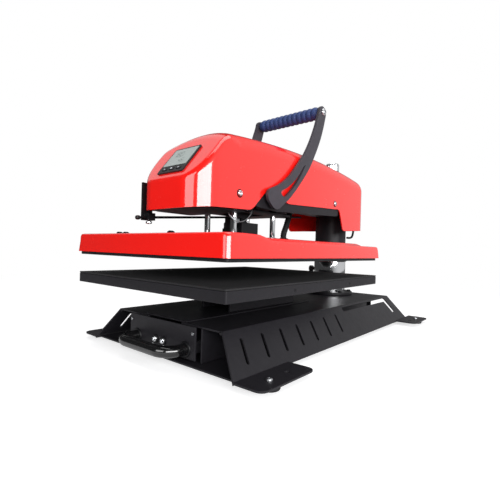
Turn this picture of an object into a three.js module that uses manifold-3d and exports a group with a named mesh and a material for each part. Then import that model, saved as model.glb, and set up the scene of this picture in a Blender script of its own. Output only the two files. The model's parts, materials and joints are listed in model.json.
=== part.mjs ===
// Swing-away heat press with a draw-out lower platen.
// Millimetres, +Z up. X runs across the machine, +X to the operator's right, and Y runs
// from the operator to the back. Inside the machine group Y is measured from the front
// edge of the lower platen and Z from the floor.
import * as THREE from 'three';
import { mergeVertices } from 'three/addons/utils/BufferGeometryUtils.js';
import Module from 'manifold-3d';

const wasm = await Module();
wasm.setup();

// ---- driving dimensions ----------------------------------------------------------------
const FRONT = -4; // foremost point, the platen cover's front skirt
const REAR = 796; // rearmost point, the back foot tabs
const FIT = 0.3; // gap between pieces that touch
const SHEET = 3; // steel sheet of the base

const PLATEN_HALF = 200;
const PLATEN_DEPTH = 500;
const PLATEN_TOP = 142;
const PAD = 2.7; // silicone pad on the lower platen
const PLATEN_THICK = 17;
const PRESS_GAP = 34; // open gap between the platens

const FOOT_HEIGHT = 9;
const DECK_TOP = 70;
const DECK_HALF = 141;
const DECK_FRONT = 56;
const DECK_REAR = 740;
const SKIRT_HALF = 189.4; // half width where the wings meet the level of the tabs
const SKIRT_FLARE = 25; // how far the wings' ends splay, front and back
const TAB_HALF = 239;

const POST_Y = 653;
const POST_R = 45;
const SPINDLE_R = 28;
const COLLAR_BOTTOM = 166;
const COLLAR_TOP = 171;
const ARM_BOTTOM = 296;
const ARM_TOP = 336;

const PIVOT_Y = 247; // lever pivot, seen from the side
const PIVOT_Z = 297;
const SHAFT_R = 8;
const CRANK_R = 21.7;
const CRANK_REST = THREE.MathUtils.degToRad(130);
const LINK_LENGTH = 58;
const GRIP_Y = 421;
const GRIP_Z = 518;
const LEVER_OUT = 95; // outer faces of the two lever arms
const LEVER_PLATE = 6;

const HEAD_HALF = 85;
const HEAD_FRONT = 50;
const HEAD_REAR = 712;
const SHELL = 2.5; // moulded head cover
const SCREEN_TILT = THREE.MathUtils.degToRad(50.8);
const SCREEN_Y = 81;
const SCREEN_Z = 349;

const GUIDE_X = 37;
const GUIDE_Y = [187, 313];
const COVER_TOP = 213.5; // raised middle of the platen cover
const RAIL_X = 94.5; // drawer channel walls

// ---- geometry helpers ------------------------------------------------------------------
const X = new THREE.Vector3(1, 0, 0);
const Y = new THREE.Vector3(0, 1, 0);
const Z = new THREE.Vector3(0, 0, 1);

function solid(geometry) {
  const bare = geometry.clone();
  bare.deleteAttribute('normal');
  bare.deleteAttribute('uv');
  const merged = mergeVertices(bare, 1e-4);
  return new wasm.Manifold(new wasm.Mesh({
    numProp: 3,
    vertProperties: new Float32Array(merged.attributes.position.array),
    triVerts: new Uint32Array(merged.index.array),
  }));
}

function geometryOf(body) {
  const mesh = body.getMesh();
  const geometry = new THREE.BufferGeometry();
  geometry.setAttribute('position', new THREE.BufferAttribute(mesh.vertProperties, 3));
  geometry.setIndex(new THREE.BufferAttribute(mesh.triVerts, 1));
  geometry.computeVertexNormals();
  return geometry;
}

function join(first, ...others) {
  return geometryOf(others.reduce((body, next) => body.add(solid(next)), solid(first)));
}

function cut(first, ...tools) {
  return geometryOf(tools.reduce((body, tool) => body.subtract(solid(tool)), solid(first)));
}

function mirrored(geometry) {
  const copy = mergeVertices(geometry.clone().deleteAttribute('normal'), 1e-4);
  copy.scale(-1, 1, 1);
  const index = copy.index.array;
  for (let i = 0; i < index.length; i += 3) {
    [index[i], index[i + 1]] = [index[i + 1], index[i]];
  }
  copy.computeVertexNormals();
  return copy;
}

function block(x0, x1, y0, y1, z0, z1) {
  const box = new THREE.BoxGeometry(x1 - x0, y1 - y0, z1 - z0);
  return box.translate((x0 + x1) / 2, (y0 + y1) / 2, (z0 + z1) / 2);
}

// A closed outline through points [a, b, radius]; the radius rounds that corner.
function outline(points, Type = THREE.Shape) {
  const path = new Type();
  points.forEach(([a, b, radius = 0], i) => {
    const corner = new THREE.Vector2(a, b);
    const toward = new THREE.Vector2(...points.at(i - 1)).sub(corner).normalize();
    const away = new THREE.Vector2(...points[(i + 1) % points.length]).sub(corner).normalize();
    const trim = radius / Math.tan(toward.angleTo(away) / 2);
    const start = corner.clone().addScaledVector(toward, trim);
    const end = corner.clone().addScaledVector(away, trim);
    if (i === 0) path.moveTo(start.x, start.y);
    else path.lineTo(start.x, start.y);
    if (radius > 0) path.quadraticCurveTo(a, b, end.x, end.y);
  });
  path.closePath();
  return path;
}

function rectangle(halfA, b0, b1, radius = 0) {
  return outline([[-halfA, b0, radius], [halfA, b0, radius], [halfA, b1, radius], [-halfA, b1, radius]]);
}

function circle(a, b, radius, Type = THREE.Path) {
  return new Type().absarc(a, b, radius, 0, 2 * Math.PI, false);
}

// A slot of the given width between two points, with round ends.
function slotPath(a0, b0, a1, b1, width) {
  const turn = Math.atan2(b1 - b0, a1 - a0);
  const path = new THREE.Path();
  path.absarc(a1, b1, width / 2, turn - Math.PI / 2, turn + Math.PI / 2, false);
  path.absarc(a0, b0, width / 2, turn + Math.PI / 2, turn + 1.5 * Math.PI, false);
  path.closePath();
  return path;
}

function extruded(shape, depth, segments) {
  return new THREE.ExtrudeGeometry(shape, { depth, bevelEnabled: false, curveSegments: segments });
}

// Shapes drawn in (Y, Z), (X, Z) and (X, Y) and given a thickness along the third axis.
function acrossX(shape, x0, x1, segments = 6) {
  const basis = new THREE.Matrix4().makeBasis(Y, Z, X);
  return extruded(shape, x1 - x0, segments).applyMatrix4(basis).translate(x0, 0, 0);
}

function alongY(shape, y0, y1, segments = 6) {
  const basis = new THREE.Matrix4().makeBasis(X, Z, Y.clone().negate());
  return extruded(shape, y1 - y0, segments).applyMatrix4(basis).translate(0, y1, 0);
}

function upZ(shape, z0, z1, segments = 6) {
  return extruded(shape, z1 - z0, segments).translate(0, 0, z0);
}

function bar(from, to, radius, sides = 24) {
  const a = new THREE.Vector3(...from);
  const b = new THREE.Vector3(...to);
  const run = b.clone().sub(a);
  const turn = new THREE.Quaternion().setFromUnitVectors(Y, run.clone().normalize());
  const cylinder = new THREE.CylinderGeometry(radius, radius, run.length(), sides);
  const middle = a.add(b).multiplyScalar(0.5);
  return cylinder.applyQuaternion(turn).translate(middle.x, middle.y, middle.z);
}

// A turned piece about Z from [radius, height] points, listed from the bottom up.
function turned(profile, sides = 36) {
  const points = profile.map(([radius, height]) => new THREE.Vector2(radius, height));
  return new THREE.LatheGeometry(points, sides).rotateX(Math.PI / 2);
}

function ring(inner, outer, z0, z1, sides = 36) {
  return turned([[inner, z0], [outer, z0], [outer, z1], [inner, z1], [inner, z0]], sides);
}

function tube(points, radius, steps, sides = 12) {
  const curve = new THREE.CatmullRomCurve3(points.map((p) => new THREE.Vector3(...p)));
  const section = new THREE.Shape().absarc(0, 0, radius, 0, 2 * Math.PI, false);
  return new THREE.ExtrudeGeometry(section, {
    steps, extrudePath: curve, bevelEnabled: false, curveSegments: sides / 2,
  });
}

// A closed skin over equal rows of points, capped at both ends.
function loft(rows) {
  const count = rows[0].length;
  const positions = rows.flat(2);
  const index = [];
  for (let r = 0; r + 1 < rows.length; r += 1) {
    for (let i = 0; i < count; i += 1) {
      const a = r * count + i;
      const b = r * count + (i + 1) % count;
      index.push(a, b, a + count, b, b + count, a + count);
    }
  }
  const last = (rows.length - 1) * count;
  for (let i = 1; i + 1 < count; i += 1) {
    index.push(0, i + 1, i);
    index.push(last, last + i, last + i + 1);
  }
  const geometry = new THREE.BufferGeometry();
  geometry.setAttribute('position', new THREE.Float32BufferAttribute(positions, 3));
  geometry.setIndex(index);
  geometry.computeVertexNormals();
  return geometry;
}

// ---- finishes --------------------------------------------------------------------------
const FINISHES = {
  red: [0xe0211c, 0.25, 0],
  charcoal: [0x35343a, 0.55, 0.3],
  chrome: [0xd8dadc, 0.12, 1],
  steel: [0x9a9ca0, 0.35, 0.9],
  black: [0x151518, 0.4, 0],
  rubber: [0x1c1c1e, 0.85, 0],
  pad: [0x2c2b2e, 0.9, 0],
  grip: [0x2c447c, 0.6, 0],
  screen: [0x8f9c98, 0.15, 0],
};

const machine = new THREE.Group();

function add(group, name, geometry, finish, position = [0, 0, 0]) {
  const [color, roughness, metalness] = FINISHES[finish];
  const mesh = new THREE.Mesh(geometry, new THREE.MeshStandardMaterial({ color, roughness, metalness }));
  mesh.name = name;
  mesh.position.set(...position);
  group.add(mesh);
}

function addPair(group, name, rightGeometry, finish) {
  add(group, `${name}_right`, rightGeometry, finish);
  add(group, `${name}_left`, mirrored(rightGeometry), finish);
}

// ---- base: deck, flared wings with foot tabs, drawer channel ---------------------------
const base = new THREE.Group();
machine.add(base);

const RISE = DECK_TOP - FOOT_HEIGHT;
const SLOPE_RUN = SKIRT_HALF - DECK_HALF;
const SLOPE = Math.hypot(RISE, SLOPE_RUN);
const upSlope = (z) => ((z - FOOT_HEIGHT) / RISE) * SLOPE;

function wingPlate() {
  const plate = outline([
    [DECK_FRONT - SKIRT_FLARE, 0], [DECK_REAR + SKIRT_FLARE, 0], [DECK_REAR, SLOPE], [DECK_FRONT, SLOPE],
  ]);
  for (let i = 0; i < 7; i += 1) {
    const y = 88 + i * 51.5;
    plate.holes.push(slotPath(y - 11.5, upSlope(27), y - 2, upSlope(55), 6.5));
  }
  plate.holes.push(outline([
    [441, upSlope(58.5), 3], [690, upSlope(58.5), 5], [701, upSlope(31), 3],
    [717, upSlope(31), 3], [706, upSlope(66.5), 6], [441, upSlope(66.5), 3],
  ], THREE.Path));
  const along = Y.clone();
  const up = new THREE.Vector3(-SLOPE_RUN, 0, RISE).normalize();
  const outward = along.clone().cross(up);
  const place = new THREE.Matrix4().makeBasis(along, up, outward);
  place.setPosition(new THREE.Vector3(SKIRT_HALF, 0, FOOT_HEIGHT).addScaledVector(outward, -SHEET));
  return extruded(plate, SHEET, 2).applyMatrix4(place);
}

function footTab(y0, y1, holeY) {
  const tab = outline([
    [SKIRT_HALF - 3, y0], [TAB_HALF, y0, 16], [TAB_HALF, y1, 16], [SKIRT_HALF - 3, y1],
  ]);
  tab.holes.push(circle(215, holeY, 4.5));
  return upZ(tab, FOOT_HEIGHT, FOOT_HEIGHT + SHEET);
}

const FOOT_PLACES = { front: 74, rear: 755 };
const tabs = [footTab(31, 165, 122), footTab(682, REAR, 712)];
addPair(base, 'wing', join(wingPlate(), ...tabs), 'charcoal');

const deckHalf = DECK_HALF - 2.7;
const deck = cut(
  block(-deckHalf, deckHalf, DECK_FRONT, DECK_REAR, DECK_TOP - SHEET, DECK_TOP),
  block(-46, 46, DECK_FRONT - 10, 440, 0, 200),
);
add(base, 'base_deck', deck, 'charcoal');

const floorShape = rectangle(SKIRT_HALF - 7, 38, DECK_REAR + 4);
add(base, 'floor_plate', upZ(floorShape, FOOT_HEIGHT, FOOT_HEIGHT + SHEET), 'charcoal');

const underDeck = DECK_TOP - SHEET - FIT;
const overFloor = FOOT_HEIGHT + SHEET + FIT;
addPair(base, 'channel_wall', block(RAIL_X, RAIL_X + SHEET, DECK_FRONT, 700, overFloor, underDeck), 'charcoal');
add(base, 'rear_panel', block(-RAIL_X, RAIL_X, DECK_REAR - SHEET, DECK_REAR, overFloor, underDeck), 'charcoal');

const foot = turned([[0, 0], [15, 0], [16.5, 2], [15, 8.7], [0, 8.7]], 20);
for (const [end, y] of Object.entries(FOOT_PLACES)) {
  add(base, `foot_${end}_right`, foot, 'rubber', [217, y, 0]);
  add(base, `foot_${end}_left`, foot, 'rubber', [-217, y, 0]);
}

// A telescopic slide's C-section: web at xWeb, flanges reaching back to xLip.
function channelSection(xLip, xWeb, z0, z1, wall) {
  return outline([
    [xLip, z0], [xWeb, z0], [xWeb, z1], [xLip, z1],
    [xLip, z1 - wall], [xWeb - wall, z1 - wall], [xWeb - wall, z0 + wall], [xLip, z0 + wall],
  ]);
}
const slideWall = RAIL_X - FIT;
addPair(base, 'slide_outer', alongY(channelSection(RAIL_X - 10, slideWall, 20, 56, 1.6), 70, 470), 'steel');

const flange = turned([
  [POST_R + 0.4, DECK_TOP + FIT], [66, DECK_TOP + FIT], [66, 78], [62, 80], [POST_R + 0.4, 80],
  [POST_R + 0.4, DECK_TOP + FIT],
]);
add(base, 'post_flange', flange, 'charcoal', [0, POST_Y, 0]);
const postBody = turned([
  [0, DECK_TOP + FIT], [POST_R, DECK_TOP + FIT], [POST_R, COLLAR_BOTTOM - FIT],
  [SPINDLE_R, COLLAR_BOTTOM - FIT], [SPINDLE_R, 330], [0, 330],
]);
const post = cut(postBody, bar([0, 0, DECK_TOP - 10], [0, 0, 150], POST_R - 6, 36));
add(base, 'swing_post', post, 'chrome', [0, POST_Y, 0]);
add(base, 'thrust_collar', ring(SPINDLE_R + 0.4, 48, COLLAR_BOTTOM, COLLAR_TOP), 'black', [0, POST_Y, 0]);

// ---- drawer: tray on slides, pedestal, lower platen ------------------------------------
const drawer = new THREE.Group();
machine.add(drawer);

const TRAY_HALF = RAIL_X - 14;
const TRAY_FRONT = 48;
const tray = join(
  block(-TRAY_HALF, TRAY_HALF, TRAY_FRONT, 440, 40, 44),
  block(-RAIL_X + 4, RAIL_X - 4, TRAY_FRONT, TRAY_FRONT + SHEET, 16, DECK_TOP - 1),
  block(TRAY_HALF - 3, TRAY_HALF, TRAY_FRONT, 440, 24, 44),
  block(-TRAY_HALF, -TRAY_HALF + 3, TRAY_FRONT, 440, 24, 44),
);
add(drawer, 'drawer_tray', tray, 'charcoal');
addPair(drawer, 'slide_inner', block(TRAY_HALF + FIT, TRAY_HALF + 6.5, 70, 440, 28, 48), 'steel');

const PULL_Z = 31;
const PULL_R = 9.5;
const PULL_HALF = 67;
const pull = tube([
  [-PULL_HALF, TRAY_FRONT - FIT, PULL_Z], [-PULL_HALF, 36, PULL_Z], [-62, 19, PULL_Z], [-47, 11.5, PULL_Z],
  [0, 11, PULL_Z],
  [47, 11.5, PULL_Z], [62, 19, PULL_Z], [PULL_HALF, 36, PULL_Z], [PULL_HALF, TRAY_FRONT - FIT, PULL_Z],
], PULL_R, 30, 12);
add(drawer, 'pull_handle', pull, 'black');

const bracketBottom = PLATEN_TOP - PAD - PLATEN_THICK - 6 - 2 * FIT;
const pedestal = join(
  cut(
    block(-40, 40, 180, 400, 44 + FIT, bracketBottom - FIT),
    block(-35, 35, 170, 410, 50, bracketBottom - 6),
  ),
  block(-56, 56, DECK_FRONT + 1, 446, DECK_TOP + FIT, DECK_TOP + 2.3),
);
add(drawer, 'pedestal_box', pedestal, 'charcoal');
const bracket = upZ(rectangle(120, 90, 410, 12), bracketBottom, bracketBottom + 6);
add(drawer, 'platen_bracket', bracket, 'charcoal');
const platenTop = PLATEN_TOP - PAD;
const slab = upZ(rectangle(PLATEN_HALF, 0, PLATEN_DEPTH, 3), platenTop - PLATEN_THICK, platenTop - FIT);
add(drawer, 'lower_platen', slab, 'charcoal');
add(drawer, 'silicone_pad', upZ(rectangle(PLATEN_HALF, 0, PLATEN_DEPTH, 3), platenTop, PLATEN_TOP), 'pad');

const slideMiddles = new THREE.Group();
machine.add(slideMiddles);
addPair(slideMiddles, 'slide_middle', alongY(channelSection(RAIL_X - 6, RAIL_X - 2.5, 24, 52, 1.5), 70, 455), 'steel');

// ---- head: swinging arm, rails, chassis and moulded cover ------------------------------
const head = new THREE.Group();
machine.add(head);

const sleeve = ring(SPINDLE_R + 0.5, 44, COLLAR_TOP + 0.4, ARM_TOP).translate(0, POST_Y, 0);
const bore = bar([0, POST_Y, 100], [0, POST_Y, 400], SPINDLE_R + 0.5, 36);
const neck = cut(block(-38, 38, 500, POST_Y, ARM_BOTTOM, ARM_TOP), bore);
const beam = block(-75.6, 75.6, 350, 520, ARM_BOTTOM, ARM_TOP);
add(head, 'swing_arm', join(sleeve, neck, beam), 'charcoal');

const railShape = outline([
  [190, 281, 8], [205, 275], [262, 272], [534, 285, 10], [534, 333, 8], [400, 333], [196, 325, 10],
]);
railShape.holes.push(circle(PIVOT_Y, PIVOT_Z, SHAFT_R + FIT));
addPair(head, 'side_rail', acrossX(railShape, 76, 82), 'charcoal');

const chassisShape = rectangle(61, 168, 349, 6);
chassisShape.holes.push(outline([[-25.5, 176, 5], [25.5, 176, 5], [25.5, 298, 5], [-25.5, 298, 5]], THREE.Path));
for (const y of GUIDE_Y) {
  chassisShape.holes.push(circle(GUIDE_X, y, 6.5), circle(-GUIDE_X, y, 6.5));
}
const bushes = GUIDE_Y.flatMap((y) => [-GUIDE_X, GUIDE_X].map(
  (x) => ring(6.5, 9.5, 271, 288, 16).translate(x, y, 0),
));
add(head, 'chassis_plate', join(upZ(chassisShape, 268, 272), ...bushes), 'steel');
const underShape = outline([
  [-56, 60, 4], [56, 60, 4], [78, 92, 12], [78, 176, 8], [-78, 176, 8], [-78, 92, 12],
]);
add(head, 'under_plate', upZ(underShape, 262, 264), 'charcoal');

// The head cover: a crowned skin with a flat screen slope at the front and round ends.
const COVER_STATIONS = [
  [0, 62, 400], [0.01, 70, 403], [0.025, 78, 405], [0.045, 85, 406], [0.12, 85, 409],
  [0.24, 85, 419], [0.38, 85, 424], [0.53, 85, 426], [0.68, 85, 423], [0.8, 85, 417],
  [0.88, 85, 411], [0.93, 84, 406], [0.965, 78, 401], [0.985, 68, 396], [1, 54, 388],
];
function headSkin(inset) {
  const crown = 42;
  const power = 2 / 2.4;
  const steps = 16;
  const length = HEAD_REAR - HEAD_FRONT - 2 * inset;
  const rows = COVER_STATIONS.map(([along, half, top]) => {
    const y = HEAD_FRONT + inset + along * length;
    const width = half - inset;
    const row = [[width, y, 200], [-width, y, 200]];
    for (let i = steps; i >= 0; i -= 1) {
      const turn = (Math.PI * i) / steps;
      const across = Math.sign(Math.cos(turn)) * Math.abs(Math.cos(turn)) ** power;
      row.push([width * across, y, top - inset - crown + crown * Math.sin(turn) ** power]);
    }
    return row;
  });
  return loft(rows);
}
function aboveScreen(inset) {
  const slab = block(-120, 120, -200, 260, 0, 200);
  return slab.rotateX(SCREEN_TILT).translate(0, SCREEN_Y, SCREEN_Z).translate(
    0, inset * Math.sin(SCREEN_TILT), -inset * Math.cos(SCREEN_TILT),
  );
}
function onScreen(geometry) {
  return geometry.rotateX(SCREEN_TILT).translate(0, SCREEN_Y, SCREEN_Z);
}
const coverUnderside = outline([
  [0, 150], [900, 150], [900, 258], [HEAD_REAR, 257], [641, 254, 6], [560, 249, 4], [537, 303, 8],
  [297, 291, 14], [272, 310, 16], [226, 308, 14], [184, 267, 10], [79, 263], [HEAD_FRONT, 260], [0, 258],
]);
const headCover = cut(
  headSkin(0), aboveScreen(0),
  cut(headSkin(SHELL), aboveScreen(SHELL)),
  acrossX(coverUnderside, -150, 150),
  onScreen(block(-31, 31, -30, 30, -20, 20)),
  bar([0, POST_Y, 350], [0, POST_Y, 450], 11),
);
add(head, 'head_cover', headCover, 'red');

// Control panel, drawn flat and turned onto the screen slope.
const panel = new THREE.Group();
panel.position.set(0, SCREEN_Y, SCREEN_Z);
panel.rotation.x = SCREEN_TILT;
head.add(panel);
const BUTTON_XS = [-19, 0, 19];
const BUTTON_V = -25;
const bezelShape = rectangle(35, -34, 34, 3);
bezelShape.holes.push(outline([[-29, -16, 1], [29, -16, 1], [29, 29, 1], [-29, 29, 1]], THREE.Path));
for (const x of BUTTON_XS) {
  bezelShape.holes.push(outline([
    [x - 6, BUTTON_V - 3, 1], [x + 6, BUTTON_V - 3, 1], [x + 6, BUTTON_V + 3, 1], [x - 6, BUTTON_V + 3, 1],
  ], THREE.Path));
}
add(panel, 'lcd_bezel', extruded(bezelShape, 2.6, 3).translate(0, 0, FIT), 'black');
const glassShape = outline([[-28.6, -15.6, 1], [28.6, -15.6, 1], [28.6, 28.6, 1], [-28.6, 28.6, 1]]);
add(panel, 'lcd_glass', extruded(glassShape, 3, 3).translate(0, 0, -1.4), 'screen');
BUTTON_XS.forEach((x, i) => {
  const cap = outline([[-5.6, -2.6, 0.8], [5.6, -2.6, 0.8], [5.6, 2.6, 0.8], [-5.6, 2.6, 0.8]]);
  add(panel, `button_${i + 1}`, extruded(cap, 6, 3), 'black', [x, BUTTON_V, -2]);
});

// Power socket plate with a rocker switch on the back of the cover.
const socketPlate = cut(
  alongY(rectangle(24, 300, 352, 4), HEAD_REAR + FIT, HEAD_REAR + 5),
  block(-14, 14, HEAD_REAR + 2, HEAD_REAR + 9, 306, 324),
  block(-11, 11, HEAD_REAR + 2, HEAD_REAR + 9, 331, 347),
);
add(head, 'power_socket', socketPlate, 'black');
const rockerY = HEAD_REAR + 3.6;
const rocker = acrossX(outline([
  [rockerY - 1.2, 339], [rockerY + 0.3, 332.2], [rockerY + 1.4, 332], [rockerY + 0.9, 339],
  [rockerY + 2.6, 346], [rockerY + 0.3, 345.8],
]), -10.4, 10.4);
add(head, 'power_switch', rocker, 'black');

// Swing lock: a long pull rod under the left rail, guided by a bracket at the front corner.
const LOCK_X = -80;
const lockRun = { front: [LOCK_X, 54, 248], back: [LOCK_X + 14, 590, 293] };
const lockRod = join(
  bar(lockRun.front, lockRun.back, 2.5, 12),
  bar([LOCK_X - 0.2, 46, 247.4], [LOCK_X, 55, 248.1], 4, 16),
);
const bracketOut = -HEAD_HALF - 5;
const rodBlock = cut(
  join(
    block(bracketOut, -73, 68, 84, 244, 258),
    block(bracketOut, -HEAD_HALF - 0.8, 63, 86, 244, 316),
  ),
  bar([LOCK_X - 1, 16, 244.8], lockRun.back, 3, 12),
);
add(head, 'rod_guide', rodBlock, 'black');
add(head, 'lock_rod', lockRod, 'black');
add(head, 'rear_stay', tube([
  [46, 668, 236], [49, 680, 236], [51, 690, 240], [51, 697, 252], [51, 700, 266],
], 3, 12, 8), 'black');

// Pressure knob over the post.
const knob = turned([
  [0, ARM_TOP + 1], [8, ARM_TOP + 1], [8, 424], [17, 428], [20, 432], [20, 450], [17, 454], [0, 455],
], 32);
add(head, 'pressure_knob', knob, 'black', [0, POST_Y, 0]);

// ---- lever: two curved slotted arms, shaft, crank and grip -----------------------------
const lever = new THREE.Group();
machine.add(lever);

function leverArm() {
  const shape = new THREE.Shape();
  shape.moveTo(219, 300);
  shape.quadraticCurveTo(219, 309, 230, 314);
  shape.splineThru([
    [257, 325], [291, 347], [327, 382], [349, 408], [369, 438], [386, 470], [398, 499], [404, 516],
  ].map(([y, z]) => new THREE.Vector2(y, z)));
  shape.absarc(GRIP_Y - 2, GRIP_Z - 2, 15, Math.PI * 0.93, -Math.PI * 0.06, true);
  shape.splineThru([
    [423, 479], [408, 444], [387, 407], [364, 373], [331, 337], [300, 307], [280, 292],
  ].map(([y, z]) => new THREE.Vector2(y, z)));
  shape.lineTo(266, 282);
  shape.quadraticCurveTo(247, 266, 232, 281);
  shape.quadraticCurveTo(219, 290, 219, 300);
  const slot = new THREE.Path();
  slot.moveTo(263, 307);
  slot.quadraticCurveTo(272, 297, 283, 306);
  slot.splineThru([[307, 326], [330, 351], [351, 381]].map(([y, z]) => new THREE.Vector2(y, z)));
  slot.quadraticCurveTo(346, 380, 340, 373);
  slot.splineThru([[316, 346], [288, 325], [266, 314]].map(([y, z]) => new THREE.Vector2(y, z)));
  slot.quadraticCurveTo(261, 311, 263, 307);
  shape.holes.push(slot);
  return acrossX(shape, LEVER_OUT - LEVER_PLATE, LEVER_OUT, 5);
}
addPair(lever, 'lever_arm', leverArm(), 'charcoal');

const insideArms = LEVER_OUT - LEVER_PLATE - FIT;
const pivotShaft = bar([-insideArms, PIVOT_Y, PIVOT_Z], [insideArms, PIVOT_Y, PIVOT_Z], SHAFT_R, 32);
add(lever, 'pivot_shaft', pivotShaft, 'steel');

const pinY = PIVOT_Y + CRANK_R * Math.cos(CRANK_REST);
const pinZ = PIVOT_Z + CRANK_R * Math.sin(CRANK_REST);
const cheekShape = new THREE.Shape();
cheekShape.absarc(PIVOT_Y, PIVOT_Z, 40, THREE.MathUtils.degToRad(-100), THREE.MathUtils.degToRad(110), false);
cheekShape.absarc(204, 284, 20, THREE.MathUtils.degToRad(115), THREE.MathUtils.degToRad(262), false);
cheekShape.closePath();
cheekShape.holes.push(circle(PIVOT_Y, PIVOT_Z, SHAFT_R + FIT));
const crank = join(
  acrossX(cheekShape, 8, 13), acrossX(cheekShape, -13, -8),
  acrossX(circle(pinY, pinZ, 5, THREE.Shape), -10, 10, 12),
);
add(lever, 'toggle_crank', crank, 'charcoal');

add(lever, 'grip_rod', bar([-insideArms, GRIP_Y, GRIP_Z], [insideArms, GRIP_Y, GRIP_Z], 6), 'chrome');
const GRIP_HALF = 85;
const ribs = 12;
const gripProfile = [[6 + FIT, -GRIP_HALF], [13, -GRIP_HALF]];
for (let i = 0; i < ribs; i += 1) {
  const start = -GRIP_HALF + 3 + (i * (2 * GRIP_HALF - 6)) / ribs;
  gripProfile.push([15, start + 2], [15, start + 9], [13.4, start + 11.5]);
}
gripProfile.push([13, GRIP_HALF], [6 + FIT, GRIP_HALF], [6 + FIT, -GRIP_HALF]);
const grip = turned(gripProfile, 16).rotateY(Math.PI / 2);
add(lever, 'grip_sleeve', grip, 'grip', [0, GRIP_Y, GRIP_Z]);
const screwHead = turned([[0, 0], [8, 0], [8, 2], [5, 4.5], [0, 5]], 16).rotateY(Math.PI / 2);
screwHead.translate(LEVER_OUT + FIT, GRIP_Y, GRIP_Z);
addPair(lever, 'grip_screw', screwHead, 'chrome');

// Link from the crank pin down to the seat on the yoke.
const linkShape = outline([
  [pinY - 4.5, pinZ], [pinY + 4.5, pinZ], [pinY + 4.5, 266], [pinY + 7, 262],
  [pinY + 7, pinZ - LINK_LENGTH - 7, 6], [pinY - 7, pinZ - LINK_LENGTH - 7, 6], [pinY - 7, 262], [pinY - 4.5, 266],
]);
const link = cut(
  join(acrossX(linkShape, -5, 5), acrossX(circle(pinY, pinZ, 9.5, THREE.Shape), -5, 5, 12)),
  acrossX(circle(pinY, pinZ, 5 + FIT, THREE.Shape), -8, 8, 12),
);
add(lever, 'toggle_link', link, 'steel');

// ---- press: heated upper platen under its red cover, yoke and guide posts --------------
const press = new THREE.Group();
machine.add(press);

const plateBottom = PLATEN_TOP + PRESS_GAP;
const heatPlate = upZ(rectangle(PLATEN_HALF - 1, 1, PLATEN_DEPTH - 1, 6), plateBottom, plateBottom + 14);
add(press, 'heat_plate', heatPlate, 'black');

// One level of the cover: half width, front, rear, height.
function coverLevel(half, front, rear, z, radius) {
  const corner = (x, y, start) => [0, 1, 2, 3].map((i) => {
    const turn = start + (i * Math.PI) / 6;
    return [x + radius * Math.cos(turn), y + radius * Math.sin(turn), z];
  });
  return [
    ...corner(half - radius, front + radius, -Math.PI / 2), ...corner(half - radius, rear - radius, 0),
    ...corner(-half + radius, rear - radius, Math.PI / 2), ...corner(-half + radius, front + radius, Math.PI),
  ];
}
const COVER_BOTTOM = 181.5;
const SIDE_TOP = 208;
const outerCover = join(
  loft([coverLevel(204, FRONT, 510, COVER_BOTTOM, 8), coverLevel(201, -1, 508, SIDE_TOP, 8)]),
  loft([coverLevel(201.2, -1.2, 150, SIDE_TOP - 6, 8), coverLevel(200.5, 0, 92, 216, 8)]),
  loft([coverLevel(172, 20, 490, SIDE_TOP - 4, 10), coverLevel(160, 40, 474, COVER_TOP, 10)]),
);
const innerCover = join(
  loft([coverLevel(202.8, -2.8, 508.8, COVER_BOTTOM - 5, 6), coverLevel(199, 1, 506, SIDE_TOP - 2, 6)]),
  loft([coverLevel(170, 22, 488, SIDE_TOP - 10, 8), coverLevel(158, 42, 472, COVER_TOP - 2, 8)]),
);
add(press, 'platen_cover', cut(outerCover, innerCover), 'red');

const yokeShape = rectangle(50, 172, 328, 12);
for (const y of GUIDE_Y) {
  yokeShape.holes.push(circle(GUIDE_X, y, 6 + FIT), circle(-GUIDE_X, y, 6 + FIT));
}
const yokeBottom = COVER_TOP + FIT;
const yokeTop = yokeBottom + 5;
const seat = cut(
  join(block(-14, 14, 208, 256, yokeTop - 1, 258), block(-26, 26, 224, 276, yokeTop - 1, 249)),
  acrossX(outline([[216.5, 245, 4], [242, 245, 4], [242, 270], [216.5, 270]]), -20, 20),
  block(-15.4, -7.6, 150, 300, 236, 270), block(7.6, 15.4, 150, 300, 236, 270),
);
add(press, 'yoke', join(upZ(yokeShape, yokeBottom, yokeTop), seat), 'black');
GUIDE_Y.forEach((y, i) => {
  const guide = turned([[0, 0], [6, 0], [6, 101], [5, 102], [0, 102]], 20);
  const end = i === 0 ? 'front' : 'rear';
  add(press, `guide_post_${end}_right`, guide, 'chrome', [GUIDE_X, y, yokeBottom + FIT]);
  add(press, `guide_post_${end}_left`, guide, 'chrome', [-GUIDE_X, y, yokeBottom + FIT]);
});
add(press, 'heater_conduit', tube([
  [0, 432, ARM_BOTTOM - FIT], [0, 432, 284], [0, 421, 256], [0, 410, 234], [0, 410, COVER_TOP + FIT],
], 7.5, 14, 12), 'rubber');

machine.position.y = -(FRONT + REAR) / 2;
const heatPress = new THREE.Group();
heatPress.add(machine);
export default heatPress;
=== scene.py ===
import json
import math

import bmesh
import bpy
import numpy as np
from mathutils import Matrix, Vector

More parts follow.
